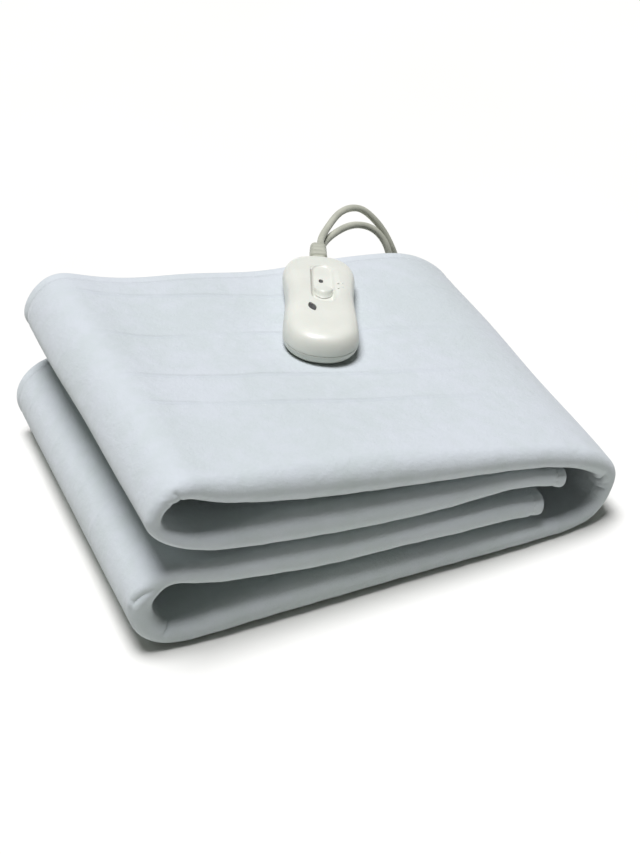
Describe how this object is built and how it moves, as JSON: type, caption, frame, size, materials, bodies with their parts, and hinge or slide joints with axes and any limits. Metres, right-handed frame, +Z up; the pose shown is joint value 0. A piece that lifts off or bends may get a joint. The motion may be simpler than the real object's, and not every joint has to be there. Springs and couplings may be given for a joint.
{
  "type": "electric heated blanket",
  "caption": "Electric heated blanket folded into layers, with a slider hand controller lying on top and its cords leading over the back to a fitting, a coil and a mains plug.",
  "frame": {"origin": "under the middle of the folded blanket, on the surface it rests on", "axes": "+X along the front rolls to the right, +Y from the rolled front to the open back, +Z up"},
  "size_m": [0.3956, 0.4082, 0.1489],
  "materials": {
    "felt": "soft non-woven felt",
    "housing_plastic": "satin moulded",
    "lens_plastic": "dark smooth",
    "cord_rubber": "matte sheath",
    "tie_strap": "matte strap",
    "pin_metal": "plated"
  },
  "bodies": {
    "blanket": {"blanket_cloth": "felt", "controller_base": "housing_plastic", "controller_cover": "housing_plastic", "indicator_lens": "lens_plastic", "cord_sleeve": "cord_rubber", "blanket_lead": "cord_rubber", "lead_entry": "cord_rubber", "mains_lead": "cord_rubber", "mains_coil": "cord_rubber", "coil_tie": "tie_strap", "mains_tail": "cord_rubber", "plug_body": "cord_rubber", "plug_pin_front": "pin_metal", "plug_pin_back": "pin_metal"},
    "slider": {"slider_knob": "housing_plastic"}
  },
  "joints": [
    {"name": "heat_setting_slide", "type": "slide", "parent": "blanket", "child": "slider", "axis": [0.3771, 0.922, -0.0882], "range_m": [0, 0.009]}
  ]
}
